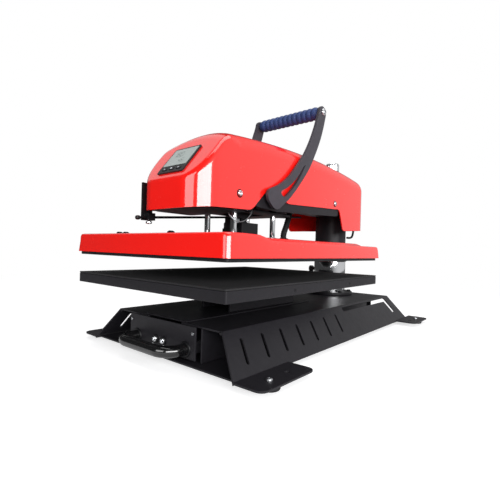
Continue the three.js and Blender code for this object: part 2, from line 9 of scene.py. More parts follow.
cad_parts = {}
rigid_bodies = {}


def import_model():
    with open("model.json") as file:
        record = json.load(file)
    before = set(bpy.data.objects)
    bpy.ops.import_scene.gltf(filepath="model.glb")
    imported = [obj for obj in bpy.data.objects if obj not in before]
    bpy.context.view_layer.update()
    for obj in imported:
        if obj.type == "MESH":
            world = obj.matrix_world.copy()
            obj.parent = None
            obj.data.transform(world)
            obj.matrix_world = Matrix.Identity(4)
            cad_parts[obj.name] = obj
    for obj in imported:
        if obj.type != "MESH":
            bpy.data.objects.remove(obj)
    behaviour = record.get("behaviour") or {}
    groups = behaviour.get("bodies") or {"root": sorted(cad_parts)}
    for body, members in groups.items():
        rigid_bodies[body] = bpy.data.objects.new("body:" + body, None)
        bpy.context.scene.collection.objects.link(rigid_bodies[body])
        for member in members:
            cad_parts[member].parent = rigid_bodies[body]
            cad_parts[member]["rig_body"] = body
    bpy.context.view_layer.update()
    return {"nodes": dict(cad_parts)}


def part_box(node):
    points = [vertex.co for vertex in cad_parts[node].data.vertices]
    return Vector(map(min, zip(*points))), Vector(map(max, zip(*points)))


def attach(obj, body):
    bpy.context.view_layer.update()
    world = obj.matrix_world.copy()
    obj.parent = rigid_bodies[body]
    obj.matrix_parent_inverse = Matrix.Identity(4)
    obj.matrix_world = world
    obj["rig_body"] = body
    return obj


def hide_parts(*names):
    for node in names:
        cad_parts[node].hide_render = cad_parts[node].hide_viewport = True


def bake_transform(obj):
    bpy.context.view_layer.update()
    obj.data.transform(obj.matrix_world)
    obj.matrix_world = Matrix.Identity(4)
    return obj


bl_info = {
    "name": "Heat press looks",
    "version": (1, 0, 0),
    "blender": (4, 5, 0),
    "location": "View3D > Sidebar > Heat Press",
    "description": "Finishes and fine surfaces of a swing-away heat press around its packed frame",
    "category": "Object",
}

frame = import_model()

MM = 0.001
HANDS = ((1, "right"), (-1, "left"))

POST_LOW, POST_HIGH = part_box("swing_post")
COVER_LOW, COVER_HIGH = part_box("head_cover")
SKIN_LOW, SKIN_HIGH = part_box("platen_cover")
POST_Y = (POST_LOW.y + POST_HIGH.y) / 2
PLATEN_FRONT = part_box("lower_platen")[0].y
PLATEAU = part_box("yoke")[0].z / MM - 0.3  # flat middle of the platen cover, in millimetres

SCREEN_TILT = math.radians(50.8)
SCREEN_Y = PLATEN_FRONT + 0.081
SCREEN_Z = 0.349
SCREEN_PLACE = Matrix.Translation((0, SCREEN_Y, SCREEN_Z)) @ Matrix.Rotation(SCREEN_TILT, 4, "X")

# the head cover's crown: its highest point, and how fast it drops along and across
CROWN_Y = PLATEN_FRONT + 0.395
CROWN_Z = 0.4255
CROWN_ALONG = 0.214
CROWN_ACROSS = 2.64
BROW_ROUND = 0.016  # where the screen slope meets the crown
FRONT_CORNER = 0.046
REAR_CORNER = 0.052


# ---- sizes and colours a user would change ----------------------------------------------
def length(label, words, value):
    return bpy.props.FloatProperty(
        name=label, description=words, default=value, min=0.0, subtype="DISTANCE", unit="LENGTH")


def tint(label, words, value):
    return bpy.props.FloatVectorProperty(
        name=label, description=words, default=value, size=3, min=0.0, max=1.0, subtype="COLOR")


class HeatPressSizes(bpy.types.PropertyGroup):
    sheet_break: length("Sheet edge", "Rounding of cut sheet edges", 0.0006)
    plate_break: length("Plate edge", "Rounding of milled plate edges", 0.0012)
    cover_wall: length("Cover wall", "Wall of the moulded head cover", 0.0025)
    cover_round: length("Cover edge", "Rounding of the head cover's long edges", 0.024)
    screen_round: length("Screen edge", "Rounding around the screen slope", 0.004)
    skin_wall: length("Platen cover sheet", "Sheet of the upper platen's cover", 0.0015)
    floor_reach: length("Floor", "Half width of the studio floor", 6.0)


class HeatPressFinishes(bpy.types.PropertyGroup):
    red: tint("Red", "Gloss red of both covers", (0.97, 0.010, 0.006))
    charcoal: tint("Charcoal", "Powder coat of the sheet metal", (0.0105, 0.0098, 0.0120))
    blue: tint("Grip blue", "Rubber of the lever grip", (0.020, 0.045, 0.16))
    glass: tint("Display", "Unlit display behind its window", (0.30, 0.36, 0.34))


# ---- shader writing ---------------------------------------------------------------------
class Wire:
    """A socket that takes part in sums; every sum adds its Math node."""

    def __init__(self, maker, socket):
        self.maker = maker
        self.socket = socket

    def work(self, operation, first, second=0.0):
        return self.maker.node("ShaderNodeMath", {"operation": operation}, [first, second])

    def __add__(self, other):
        return self.work("ADD", self, other)

    def __radd__(self, other):
        return self.work("ADD", other, self)

    def __sub__(self, other):
        return self.work("SUBTRACT", self, other)

    def __mul__(self, other):
        return self.work("MULTIPLY", self, other)

    def __rmul__(self, other):
        return self.work("MULTIPLY", other, self)

    def __truediv__(self, other):
        return self.work("DIVIDE", self, other)

    def __gt__(self, other):
        return self.work("GREATER_THAN", self, other)

    def sine(self):
        return self.work("SINE", self)

    def clamped(self):
        return self.maker.node("ShaderNodeClamp", {}, [self, 0.0, 1.0])


class NodeMaker:
    """A node tree and the one way in which its nodes are made."""

    def __init__(self, tree):
        self.tree = tree

    def put(self, socket, value):
        """Links a wire to a socket, or sets the socket's own value."""
        if isinstance(value, Wire):
            self.tree.links.new(value.socket, socket)
            return
        if socket.type == "RGBA" and len(value) == 3:
            value = (*value, 1.0)
        socket.default_value = value

    def node(self, kind, settings, inputs, output=0):
        """Adds a node: its settings, then its inputs by place or by name; gives one output."""
        new = self.tree.nodes.new(kind)
        for key, value in settings.items():
            setattr(new, key, value)
        pairs = inputs.items() if isinstance(inputs, dict) else enumerate(inputs)
        for key, value in pairs:
            self.put(new.inputs[key], value)
        return Wire(self, new.outputs[output]) if new.outputs else None


class Finish(NodeMaker):
    """One material on a Principled shader."""

    def __init__(self, name):
        self.material = bpy.data.materials.new(name)
        self.material.use_nodes = True
        super().__init__(self.material.node_tree)
        self.shader = self.tree.nodes["Principled BSDF"]
        self.coords = self.node("ShaderNodeTexCoord", {}, [], "Object")

    def noise(self, scale, detail=2.0, rough=0.5, vector=None):
        inputs = {"Vector": vector or self.coords, "Scale": scale, "Detail": detail, "Roughness": rough}
        return self.node("ShaderNodeTexNoise", {}, inputs)

    def stretched(self, x, y, z):
        """Object coordinates scaled unevenly, for grain that runs one way."""
        settings = {"operation": "MULTIPLY"}
        return self.node("ShaderNodeVectorMath", settings, [self.coords, (x, y, z)])

    def mix(self, amount, first, second):
        settings = {"data_type": "RGBA", "blend_type": "MIX"}
        return self.node("ShaderNodeMix", settings, {0: amount, 6: first, 7: second}, 2)

    def edge(self):
        """Mask of the rounded edges of softened pieces: 1 on them, 0 elsewhere; finishes paint a highlight
        along it.
        """
        settings = {"attribute_name": "edge", "attribute_type": "GEOMETRY"}
        return self.node("ShaderNodeAttribute", settings, [], "Fac")

    def bump(self, height, strength, distance):
        inputs = {"Strength": strength, "Distance": distance, "Height": height}
        return self.node("ShaderNodeBump", {}, inputs)

    def set(self, **values):
        """Sets or links the shader's sockets; an underscore stands for a space in a socket's name."""
        for key, value in values.items():
            self.put(self.shader.inputs[key.replace("_", " ")], value)


def shade(colour, factor):
    return tuple(min(1.0, c * factor) for c in colour)


def powder_coat(name, colour, rough, grain=900.0):
    """Fine textured powder coat with a faint orange peel, and paler edges: a painted highlight along the
    rounded edges, broken up by noise.
    """
    f = Finish(name)
    cloud = f.noise(7.0, 3.0)
    pepper = f.noise(grain, 2.0, 0.7)
    # painted highlight: the rounded edges are painted paler, broken up by noise
    edge_highlight = (f.edge() * f.noise(60.0, 4.0, 0.7)).clamped()
    base = f.mix(cloud, shade(colour, 0.88), shade(colour, 1.16))
    f.set(
        Base_Color=f.mix(edge_highlight * 0.5, base, shade(colour, 2.6)),
        Metallic=0.0,
        Roughness=rough - 0.07 + 0.14 * f.noise(40.0, 4.0, 0.65) + 0.08 * pepper,
        Normal=f.bump(pepper + 1.8 * f.noise(grain * 0.16, 1.0), 0.16, 0.0004),
        Specular_IOR_Level=0.25,
    )
    return f.material


def gloss_paint(name, colour):
    """Two-pack gloss: clear coat, a hint of orange peel, dust and fine polishing marks."""
    f = Finish(name)
    cloud = f.noise(5.0, 2.0)
    peel = f.noise(130.0, 1.0, 0.4)
    dust = f.noise(700.0, 2.0, 0.6) > 0.70
    marks = f.noise(9.0, 5.0, 0.7, f.stretched(30.0, 3.0, 30.0))
    base = f.mix(cloud, shade(colour, 0.93), shade(colour, 1.05))
    f.set(
        Base_Color=f.mix(dust * 0.05, base, (0.95, 0.55, 0.5)),
        Roughness=0.17 + 0.10 * f.noise(22.0, 4.0, 0.6) + 0.07 * marks,
        Normal=f.bump(peel, 0.05, 0.0005),
        Coat_Weight=0.8,
        Coat_Roughness=0.045,
        Coat_IOR=1.85,
        Specular_IOR_Level=0.2,
    )
    return f.material


def plated(name, colour, rough, lines, run):
    """Chrome or zinc: metal with turning marks along one direction and faint haze."""
    f = Finish(name)
    marks = f.noise(lines, 3.0, 0.6, f.stretched(*run))
    haze = f.noise(18.0, 4.0, 0.6)
    f.set(
        Base_Color=f.mix(haze, shade(colour, 0.86), shade(colour, 1.04)),
        Metallic=1.0,
        Roughness=rough + rough * 0.9 * haze * marks,
        Normal=f.bump(marks, 0.04, 0.0002),
    )
    return f.material


def moulded(name, colour, rough, grain, strength=0.14):
    """Plastic or rubber with a spark-eroded grain, a little dust and a painted highlight along its rounded
    edges.
    """
    f = Finish(name)
    fine = f.noise(grain, 3.0, 0.65)
    cloud = f.noise(14.0, 3.0)
    base = f.mix(cloud, shade(colour, 0.82), shade(colour, 1.22))
    f.set(
        # painted highlight: rounded edges painted paler, broken up by the grain
        Base_Color=f.mix((f.edge() * fine).clamped() * 0.3, base, shade(colour, 2.4)),
        Roughness=rough - 0.06 + 0.12 * fine + 0.06 * cloud,
        Normal=f.bump(fine, strength, 0.0004),
    )
    return f.material


def silicone_sheet(name, colour):
    """The press pad: matt silicone with a woven print of the fabric it was cured on."""
    f = Finish(name)
    thread_pitch = 0.0012
    turns = 2 * math.pi / thread_pitch
    warp, weft = (f.node("ShaderNodeSeparateXYZ", {}, [f.coords], way) for way in "XY")
    weave = (warp * turns).sine() * (weft * turns).sine()
    cloud = f.noise(6.0, 4.0, 0.6)
    lint = f.noise(420.0, 2.0, 0.5) > 0.72
    base = f.mix(cloud, shade(colour, 0.8), shade(colour, 1.3))
    f.set(
        Base_Color=f.mix(lint * 0.12, base, (0.25, 0.24, 0.25)),
        Roughness=0.66 + 0.16 * cloud + 0.05 * weave,
        Normal=f.bump(weave + f.noise(900.0), 0.12, 0.0003),
    )
    return f.material


def display_window(name, colour):
    """Reflective display behind a clear window: a soft gradient, no backlight."""
    f = Finish(name)
    cloud = f.noise(25.0, 2.0)
    cells = f.noise(1500.0, 1.0)
    base = f.mix(cloud, shade(colour, 0.86), shade(colour, 1.22))
    f.set(
        Base_Color=f.mix(cells * 0.2, base, shade(colour, 0.7)),
        Roughness=0.20 + 0.08 * cloud,
        Normal=f.bump(cells, 0.02, 0.0001),
        Coat_Weight=1.0,
        Coat_Roughness=0.03,
    )
    return f.material


def studio_floor(name):
    """A light table: lit by the lamps near the object and glowing white further out."""
    f = Finish(name)
    distance = f.node("ShaderNodeVectorMath", {"operation": "LENGTH"}, [f.coords], "Value")
    near, far = 0.5, 1.8
    out = ((distance - near) / (far - near)).clamped()
    seen = f.node("ShaderNodeLightPath", {}, [], "Is Camera Ray")
    glow = f.mix(out, (0.66, 0.66, 0.66), (1.0, 1.0, 1.0))
    f.set(
        Base_Color=f.mix(out, (0.62, 0.62, 0.63), (0.0, 0.0, 0.0)),
        Emission_Color=f.mix(seen, (0.16, 0.16, 0.16), glow),
        Roughness=0.8,
        Emission_Strength=1.0,
        Specular_IOR_Level=0.0,
    )
    return f.material


MATERIALS = {}


def finishes():
    """Makes every material once, from the colours in the panel."""
    if not MATERIALS:
        look = bpy.context.scene.heat_press_finishes
        red, charcoal, glass = tuple(look.red), tuple(look.charcoal), tuple(look.glass)
        jet = (0.006, 0.006, 0.007)
        MATERIALS.update(
            powder_charcoal=powder_coat("powder_charcoal", charcoal, 0.40),
            platen_charcoal=powder_coat("platen_charcoal", shade(charcoal, 0.92), 0.40, 700.0),
            platen_black=powder_coat("platen_black", jet, 0.4, 1200.0),
            black_paint=powder_coat("black_paint", jet, 0.36, 1300.0),
            # painted sheen: the lever arms' charcoal is painted 3.4 times paler to stand in for the
            # reflection on their faces
            lever_enamel=powder_coat("lever_enamel", shade(charcoal, 3.4), 0.34, 1200.0),
            red_gloss=gloss_paint("red_gloss", red),
            red_moulded=gloss_paint("red_moulded", red),
            chrome=plated("chrome", (0.80, 0.81, 0.83), 0.05, 9.0, (1.0, 1.0, 90.0)),
            zinc_steel=plated("zinc_steel", (0.50, 0.51, 0.53), 0.26, 30.0, (4.0, 60.0, 60.0)),
            black_gloss=gloss_paint("black_gloss", (0.004, 0.004, 0.0045)),
            black_plastic=moulded("black_plastic", (0.007, 0.007, 0.008), 0.42, 1500.0),
            rubber_black=moulded("rubber_black", (0.008, 0.008, 0.009), 0.72, 900.0, 0.25),
            silicone=silicone_sheet("silicone", (0.010, 0.0095, 0.011)),
            blue_grip=moulded("blue_grip", tuple(look.blue), 0.55, 1100.0, 0.3),
            lcd_glass=display_window("lcd_glass", glass),
            display_digits=moulded("display_digits", shade(glass, 0.55), 0.4, 1500.0, 0.02),
            pale_print=moulded("pale_print", (0.62, 0.66, 0.70), 0.5, 1500.0, 0.05),
            studio_floor=studio_floor("studio_floor"),
        )
    return MATERIALS


def finished(piece, finish, body, *nodes):
    """Gives a piece its finish, the body it rides on, if any, and the frame nodes it replaces."""
    piece.data.materials.clear()
    piece.data.materials.append(finishes()[finish])
    if body:
        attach(piece, body)
    if nodes:
        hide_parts(*nodes)
    return piece


def placed(name, mesh):
    piece = bpy.data.objects.new(name, mesh)
    bpy.context.scene.collection.objects.link(piece)
    return piece


def smooth_faces(mesh, degrees=35.0):
    for face in mesh.polygons:
        face.use_smooth = True
    mesh.set_sharp_from_angle(angle=math.radians(degrees))


def from_rows(name, rows, ring=True, caps=True):
    """A skin through equal rows of points; a ring closes each row on itself."""
    count = len(rows[0])
    points = [tuple(p) for row in rows for p in row]
    faces = []
    for r in range(len(rows) - 1):
        for i in range(count if ring else count - 1):
            j = (i + 1) % count
            faces.append((r * count + i, r * count + j, (r + 1) * count + j, (r + 1) * count + i))
    if caps:
        last = (len(rows) - 1) * count
        faces.append(tuple(reversed(range(count))))
        faces.append(tuple(range(last, last + count)))
    mesh = bpy.data.meshes.new(name)
    mesh.from_pydata(points, [], faces)
    mesh.update()
    return mesh


def outward(mesh):
    """Merges doubled points and turns all faces outward."""
    bm = bmesh.new()
    bm.from_mesh(mesh)
    bmesh.ops.remove_doubles(bm, verts=bm.verts, dist=1e-6)
    bmesh.ops.recalc_face_normals(bm, faces=bm.faces)
    bm.to_mesh(mesh)
    bm.free()
    mesh.update()
    return mesh


def lathe(name, profile, centre, axis=(0, 0, 1), sides=64):
    """A turned piece: profile of (radius, height) closed on the axis or on itself, in metres."""
    turn = Vector((0, 0, 1)).rotation_difference(Vector(axis)).to_matrix()
    rows = []
    for radius, height in profile:
        row = []
        for i in range(sides):
            angle = 2 * math.pi * i / sides
            local = Vector((radius * math.cos(angle), radius * math.sin(angle), height))
            row.append(Vector(centre) + turn @ local)
        rows.append(row)
    mesh = from_rows(name, rows, caps=False)
    outward(mesh)
    smooth_faces(mesh, 38.0)
    return placed(name, mesh)


def rounded(profile, radius, steps=4):
    """The same open profile with each inner corner turned into an arc."""
    result = [profile[0]]
    for before, corner, after in zip(profile, profile[1:], profile[2:]):
        b, c, a = (Vector((*p, 0.0)) for p in (before, corner, after))
        toward, away = (b - c), (a - c)
        reach = min(radius, 0.45 * toward.length, 0.45 * away.length)
        start, end = c + toward.normalized() * reach, c + away.normalized() * reach
        for i in range(steps + 1):
            t = i / steps
            point = start * (1 - t) ** 2 + c * 2 * t * (1 - t) + end * t ** 2
            result.append((point.x, point.y))
    result.append(profile[-1])
    return result


def closed(profile, radius):
    """A rounded profile closed on itself, for a ring."""
    ring = rounded(profile, radius)
    return [*ring, ring[0]]


def swept(name, points, radius, sides, smooth):
    """A round bar along a smooth line through the points, with smooth steps from each to the next."""
    line = []
    count = len(points)
    for i in range(count - 1):
        p0, p1 = Vector(points[max(i - 1, 0)]), Vector(points[i])
        p2, p3 = Vector(points[i + 1]), Vector(points[min(i + 2, count - 1)])
        for s in range(smooth):
            t = s / smooth
            line.append(0.5 * (2 * p1 + (p2 - p0) * t + (2 * p0 - 5 * p1 + 4 * p2 - p3) * t * t
                               + (3 * p1 - p0 - 3 * p2 + p3) * t ** 3))
    line.append(Vector(points[-1]))
    tangents = [(line[min(i + 1, len(line) - 1)] - line[max(i - 1, 0)]).normalized()
                for i in range(len(line))]
    side = tangents[0].orthogonal().normalized()
    rows = []
    for here, tangent in zip(line, tangents):
        side = (side - tangent * side.dot(tangent)).normalized()
        other = tangent.cross(side)
        rows.append([here + radius * (math.cos(a) * side + math.sin(a) * other)
                     for a in (2 * math.pi * i / sides for i in range(sides))])
    mesh = outward(from_rows(name, rows))
    smooth_faces(mesh, 50.0)
    return placed(name, mesh)


def softened(node, finish, width, segments=2):
    """A frame node's shape with its sharp edges rounded and marked, so that finishes can paint a highlight
    along them.
    """
    source = frame["nodes"][node]
    bm = bmesh.new()
    bm.from_mesh(source.data)
    bmesh.ops.remove_doubles(bm, verts=bm.verts, dist=1e-6)
    flat, sharp_from = math.radians(1.5), math.radians(32)
    bmesh.ops.dissolve_limit(
        bm, angle_limit=flat, verts=bm.verts, edges=bm.edges, use_dissolve_boundaries=False)
    sharp = [e for e in bm.edges if len(e.link_faces) == 2 and e.calc_face_angle(0.0) > sharp_from]
    # the edge layer marks the bevel faces where finishes paint a highlight
    layer = bm.verts.layers.float.new("edge")
    if sharp:
        made = bmesh.ops.bevel(
            bm, geom=sharp, offset=width, offset_type="OFFSET", segments=segments, profile=0.6,
            affect="EDGES", clamp_overlap=True)
        for face in made["faces"]:
            for vert in face.verts:
                vert[layer] = 1.0
    mesh = bpy.data.meshes.new(node + "_soft")
    bm.to_mesh(mesh)
    bm.free()
    smooth_faces(mesh, 40.0)
    piece = placed(node + "_soft", mesh)
    crisp = piece.modifiers.new("crisp", "WEIGHTED_NORMAL")
    crisp.keep_sharp = True
    return finished(piece, finish, source["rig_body"], node)


def cut_away(piece, tool):
    """Takes the tool's shape out of the piece and throws the tool away."""
    taking = piece.modifiers.new("cut", "BOOLEAN")
    taking.operation = "DIFFERENCE"
    taking.object = tool
    taking.solver = "EXACT"
    applied(piece)
    bpy.data.objects.remove(tool)


def applied(piece):
    """Bakes the piece's modifiers into its mesh."""
    bpy.context.view_layer.update()
    graph = bpy.context.evaluated_depsgraph_get()
    mesh = bpy.data.meshes.new_from_object(piece.evaluated_get(graph))
    piece.modifiers.clear()
    piece.data = mesh


def prism(name, outline, low, high, axis):
    """A closed prism: outline of (a, b) points in the plane across the axis."""
    def point(a, b, c):
        return {"X": (c, a, b), "Y": (a, c, b), "Z": (a, b, c)}[axis]
    rows = [[point(a, b, c) for a, b in outline] for c in (low, high)]
    return placed(name, outward(from_rows(name, rows)))


def screw(name, at, axis, radius, body, finish="chrome", domed=True):
    """A small cap screw: rim, domed or flat head and a hexagon socket."""
    r, h = radius, radius * 0.62
    dome = [(r, 0.0), (r, h * 0.45), (r * 0.93, h * 0.72), (r * 0.72, h * 0.94)]
    crown = dome if domed else [(r, 0.0), (r, h * 0.86), (r * 0.93, h)]
    profile = [(0.0, -h * 0.3), (r * 0.8, -h * 0.3), *crown,
               (r * 0.5, h), (r * 0.46, h * 0.96), (r * 0.44, h * 0.3), (0.0, h * 0.3)]
    return finished(lathe(name, profile, at, axis, 24), finish, body)


# ---- the stage --------------------------------------------------------------------------
class STAGE_OT_studio(bpy.types.Operator):
    """Pale floor, soft studio light and the camera"""
    bl_idname = "heat_press.studio"
    bl_label = "Studio"

    EYE = (0.52193, -0.33800, 0.05158)  # from the middle of the lower platen's front upper edge
    SWING, LIFT, ROLL = math.radians(40.07), math.radians(0.08), math.radians(1.58)
    FOCAL, SENSOR = 26.43, 36.0  # millimetres
    SOFTBOXES = (  # name, place, what it is aimed at, width, height, watts
        ("key", (2.5, -1.42, 0.85), (0.1, -0.3, 0.3), 3.0, 0.9, 90.0),
        ("front", (0.1, -2.9, 1.1), (0.0, -0.3, 0.3), 1.9, 1.2, 24.0),
        ("sky", (-2.2, 0.3, 2.0), (0.0, -0.2, 0.3), 1.8, 1.8, 6.0),
        ("top", (0.1, 0.0, 2.7), (0.0, 0.0, 0.0), 2.2, 2.2, 32.0),
    )
    WHITE = (1.0, 1.0, 1.0)
    BRIGHT_SIDE = (0.80, 0.58, 0.12)

    def execute(self, context):
        scene = context.scene
        scene.camera = self.camera(scene)
        reach = scene.heat_press_sizes.floor_reach
        floor = placed("studio_floor", from_rows("studio_floor", [
            [(-reach, -reach, 0.0), (reach, -reach, 0.0)], [(-reach, reach, 0.0), (reach, reach, 0.0)],
        ], ring=False, caps=False))
        floor.data.materials.append(finishes()["studio_floor"])
        scene.world = self.surroundings()
        scene.view_settings.view_transform = "Standard"
        for settings in self.SOFTBOXES:
            self.softbox(*settings)
        return {"FINISHED"}

    def camera(self, scene):
        right_of, ahead_of, above = self.EYE
        eye = Vector((right_of, ahead_of + PLATEN_FRONT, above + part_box("silicone_pad")[1].z))
        swing, lift, roll = self.SWING, self.LIFT, self.ROLL
        back = Vector((math.sin(swing) * math.cos(lift), -math.cos(swing) * math.cos(lift), math.sin(lift)))
        right = (-back).cross(Vector((0, 0, 1))).normalized()
        up = right.cross(-back)
        level = math.cos(roll) * right + math.sin(roll) * up
        upright = -math.sin(roll) * right + math.cos(roll) * up
        lens = bpy.data.cameras.new("camera")
        lens.sensor_width = self.SENSOR
        lens.lens = self.FOCAL
        lens.clip_start = 0.01
        camera = bpy.data.objects.new("camera", lens)
        camera.matrix_world = Matrix.Translation(eye) @ Matrix((level, upright, back)).transposed().to_4x4()
        scene.collection.objects.link(camera)
        return camera

    def surroundings(self):
        """White behind the object; what lights it is brighter on its right and dim at the front."""
        world = bpy.data.worlds.new("studio")
        world.use_nodes = True
        world.node_tree.nodes.clear()
        sky = NodeMaker(world.node_tree)
        coords = sky.node("ShaderNodeTexCoord", {}, [], "Generated")
        facing = sky.node(
            "ShaderNodeVectorMath", {"operation": "DOT_PRODUCT"}, [coords, self.BRIGHT_SIDE], "Value")
        spread = sky.node("ShaderNodeMapRange", {"interpolation_type": "SMOOTHSTEP"}, {
            "Value": facing, "From Min": -0.1, "From Max": 0.95, "To Min": 0.05, "To Max": 0.66})
        lit = sky.node("ShaderNodeBackground", {}, {"Color": self.WHITE, "Strength": spread})
        seen = sky.node("ShaderNodeBackground", {}, {"Color": self.WHITE, "Strength": 1.0})
        for_camera = sky.node("ShaderNodeLightPath", {}, [], "Is Camera Ray")
        both = sky.node("ShaderNodeMixShader", {}, [for_camera, lit, seen])
        sky.node("ShaderNodeOutputWorld", {}, {"Surface": both})
        return world

    @staticmethod
    def softbox(name, at, target, width, height, power):
        light = bpy.data.lights.new(name, "AREA")
        light.shape = "RECTANGLE"
        light.size, light.size_y = width, height
        light.energy = power
        lamp = bpy.data.objects.new(name, light)
        lamp.location = at
        lamp.rotation_euler = (Vector(at) - Vector(target)).to_track_quat("Z", "Y").to_euler()
        bpy.context.scene.collection.objects.link(lamp)


# ---- base -------------------------------------------------------------------------------
class BASE_OT_sheet_metal(bpy.types.Operator):
    """Deck, flared slotted wings, floor, channel walls and rear panel of the base"""
    bl_idname = "heat_press.base"
    bl_label = "Base sheet metal"

    def execute(self, context):
        sizes = context.scene.heat_press_sizes
        for node in ("wing_right", "wing_left", "base_deck", "floor_plate",
                     "channel_wall_right", "channel_wall_left", "rear_panel"):
            softened(node, "powder_charcoal", sizes.sheet_break)
        low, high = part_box("base_deck")
        bend = 0.0031
        for side, hand in HANDS:
            x, z = side * (high.x - 0.0004), high.z - bend
            fold = swept(f"fold_{hand}", [(x, low.y, z), (x, high.y, z)], bend, 20, 2)
            finished(fold, "powder_charcoal", "base")
        return {"FINISHED"}


class BASE_OT_feet(bpy.types.Operator):
    """Rubber feet and the screws that hold them"""
    bl_idname = "heat_press.feet"
    bl_label = "Feet"

    def execute(self, context):
        for end in ("front", "rear"):
            for _, hand in HANDS:
                node = f"foot_{end}_{hand}"
                low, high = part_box(node)
                centre = (low + high) / 2
                tall, wide = high.z - low.z, (high.x - low.x) / 2
                profile = rounded([
                    (0.0, 0.0), (wide * 0.9, 0.0), (wide, tall * 0.3), (wide * 0.93, tall),
                    (0.0, tall)], 0.0012)
                foot = lathe(f"rubber_{end}_{hand}", profile, (centre.x, centre.y, low.z))
                finished(foot, "rubber_black", "base", node)
                tab_top = high.z + 0.0034
                screw(f"foot_screw_{end}_{hand}", (centre.x, centre.y, tab_top), (0, 0, 1), 0.0052, "base",
                      "zinc_steel")
        return {"FINISHED"}


class COLUMN_OT_post(bpy.types.Operator):
    """Chrome post, its flange with bolts, the thrust collar and the stop screw"""
    bl_idname = "heat_press.column"
    bl_label = "Column"

    def execute(self, context):
        low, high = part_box("swing_post")
        collar_low, collar_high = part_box("thrust_collar")
        flange_low, flange_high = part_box("post_flange")
        radius, spindle, gap = (high.x - low.x) / 2, 0.028, 0.0004
        bottom, neck, top = low.z, collar_low.z - 0.0003, high.z
        profile = rounded([
            (radius - 0.006, bottom), (radius, bottom), (radius, neck), (spindle, neck), (spindle, top),
            (0.0, top)], 0.0014)
        self.turned("chrome_post", profile, "chrome", "swing_post")
        inner, rim = radius + gap, flange_high.x
        flange = closed([
            (inner, flange_low.z), (rim, flange_low.z), (rim, flange_high.z - 0.001),
            (inner, flange_high.z)], 0.0016)
        self.turned("flange", flange, "powder_charcoal", "post_flange")
        bolts, bolt_ring = 6, 0.0565
        for i in range(bolts):
            angle = 2 * math.pi * (i + 0.5) / bolts
            at = (bolt_ring * math.cos(angle), POST_Y + bolt_ring * math.sin(angle), flange_high.z)
            screw(f"flange_bolt_{i + 1}", at, (0, 0, 1), 0.0055, "base", "black_paint", False)
        inner, rim = spindle + gap, collar_high.x
        collar = closed([
            (inner, collar_low.z), (rim, collar_low.z), (rim, collar_high.z),
            (inner, collar_high.z)], 0.0015)
        self.turned("collar", collar, "black_paint", "thrust_collar")
        stop_profile = rounded([
            (0.0, 0.0), (0.004, 0.0), (0.004, 0.008), (0.009, 0.009), (0.0095, 0.019), (0.0, 0.021)], 0.001)
        at = (-radius + 0.0005, POST_Y - 0.004, 0.141)
        finished(lathe("stop_screw", stop_profile, at, (-1, -0.1, 0), 32), "black_plastic", "base")
        return {"FINISHED"}

    @staticmethod
    def turned(name, profile, finish, node):
        finished(lathe(name, profile, (0, POST_Y, 0), sides=96), finish, "base", node)


# ---- drawer -----------------------------------------------------------------------------
class DRAWER_OT_tray(bpy.types.Operator):
    """Tray, telescopic slides, pedestal and platen bracket"""
    bl_idname = "heat_press.tray"
    bl_label = "Drawer tray"

    def execute(self, context):
        sizes = context.scene.heat_press_sizes
        for node in ("drawer_tray", "pedestal_box", "platen_bracket"):
            softened(node, "powder_charcoal", sizes.sheet_break)
        for part in ("outer", "inner", "middle"):
            for _, hand in HANDS:
                softened(f"slide_{part}_{hand}", "zinc_steel", 0.0004, 1)
        return {"FINISHED"}


class DRAWER_OT_platen(bpy.types.Operator):
    """Lower platen slab and its silicone pad"""
    bl_idname = "heat_press.lower_platen"
    bl_label = "Lower platen"

    def execute(self, context):
        softened("lower_platen", "platen_charcoal", 0.0010, 3)
        softened("silicone_pad", "silicone", 0.0008, 3)
        low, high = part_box("lower_platen")
        middle = (low.z + high.z) / 2
        for y, label in ((low.y + 0.16, "front"), (high.y - 0.14, "rear")):
            for side, hand in HANDS:
                screw(f"platen_screw_{label}_{hand}", (side * (high.x - 0.0012), y, middle),
                      (side, 0, 0), 0.0026, "drawer", "black_paint", False)
        return {"FINISHED"}


